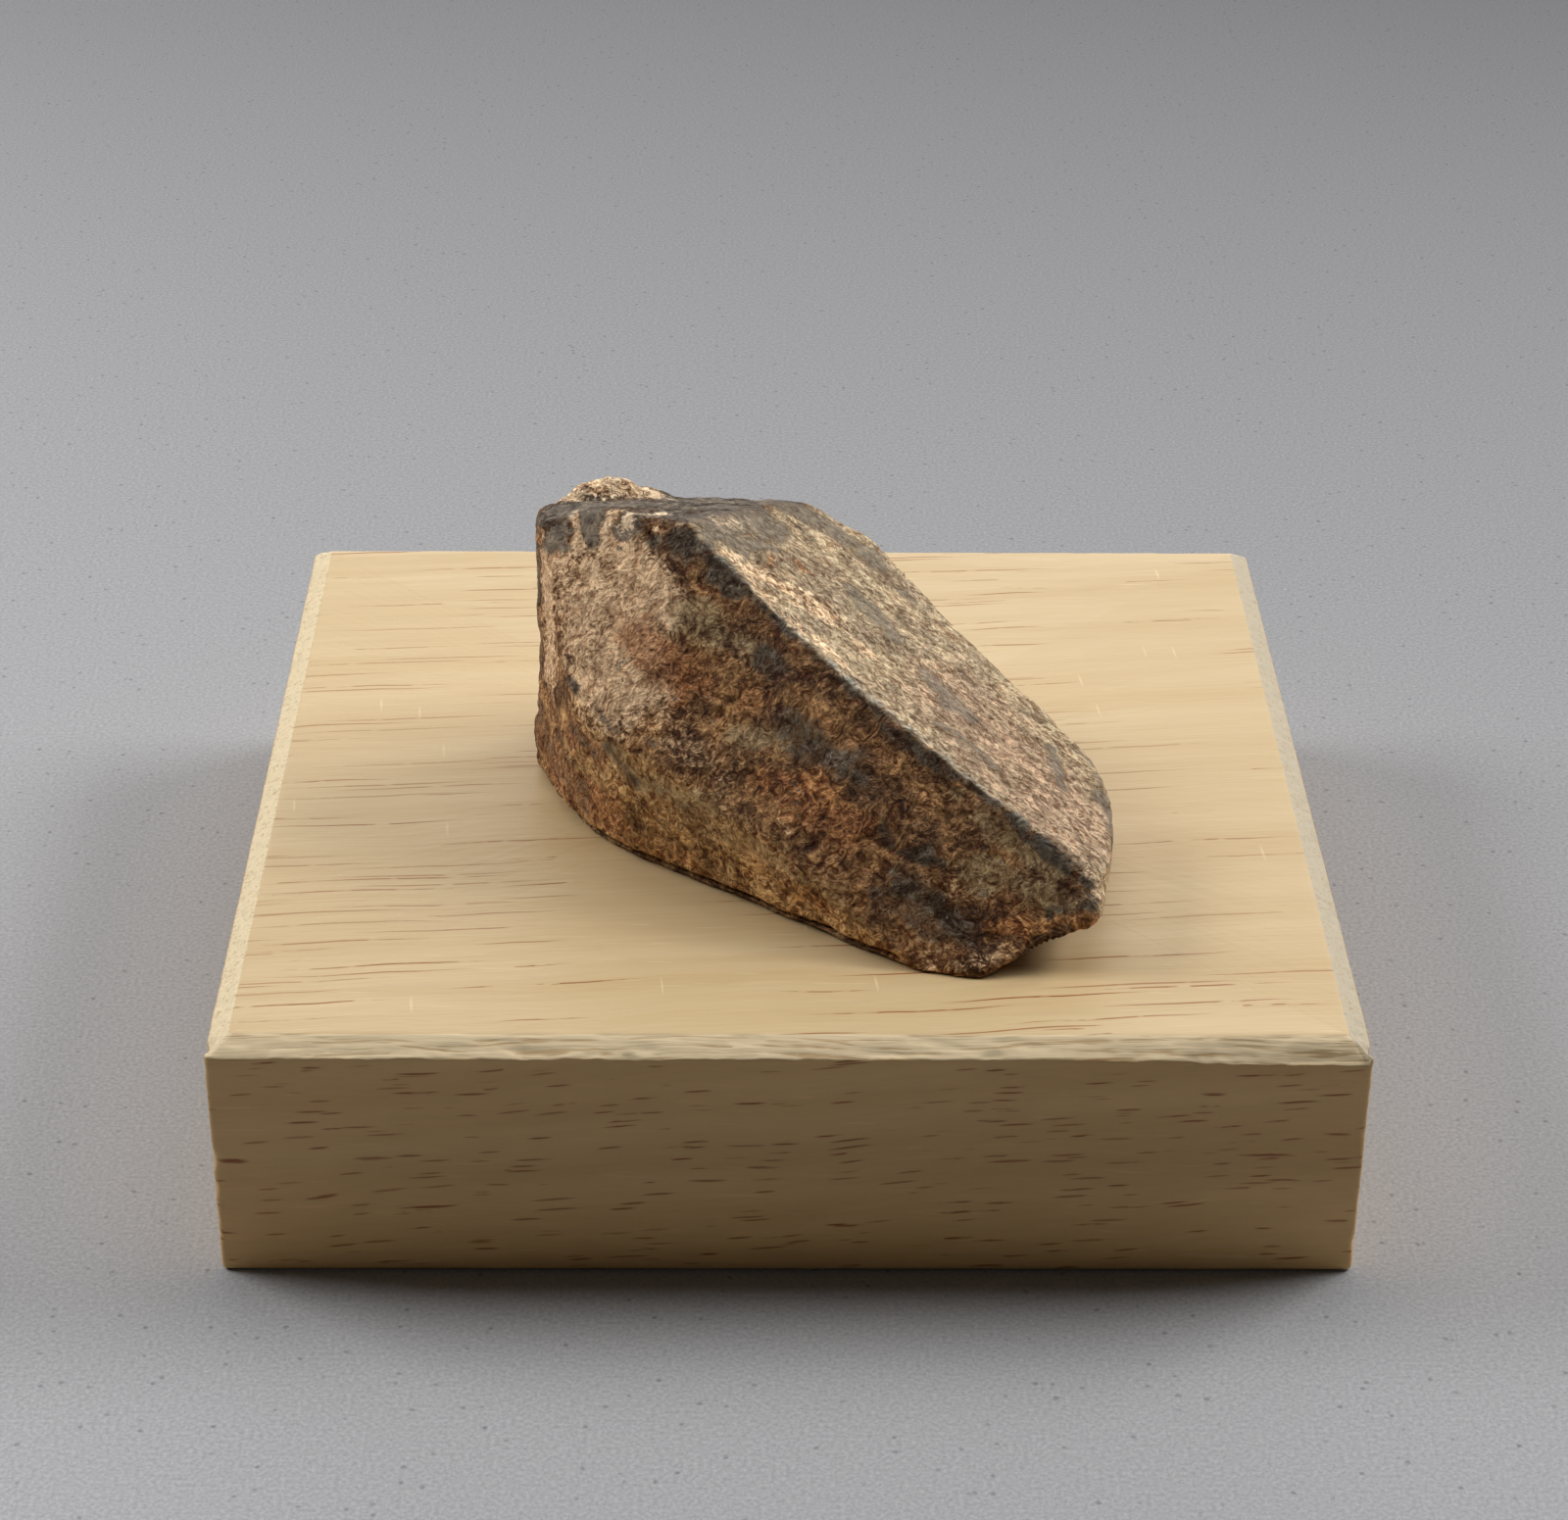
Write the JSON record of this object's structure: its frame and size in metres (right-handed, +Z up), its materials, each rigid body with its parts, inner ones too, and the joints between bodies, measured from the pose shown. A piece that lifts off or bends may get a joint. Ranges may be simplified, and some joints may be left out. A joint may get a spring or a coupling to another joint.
{
  "type": "mineral specimen",
  "caption": "Rough wedge-shaped bismutotantalite crystal lying on a square wooden display block with chamfered top edges.",
  "frame": {"origin": "middle of the wooden block's underside", "axes": "+Z up, +X to the viewer's right along the wood's grain, -Y towards the viewer"},
  "size_m": [0.08, 0.08, 0.0416],
  "materials": {
    "brown_stone": "matt, granular, brown with pale tan and grey-black skin",
    "pale_wood": "bare planed pale wood with thin brown pores along the grain"
  },
  "bodies": {
    "root": {"crystal": "brown_stone", "display_block": "pale_wood"}
  },
  "joints": []
}
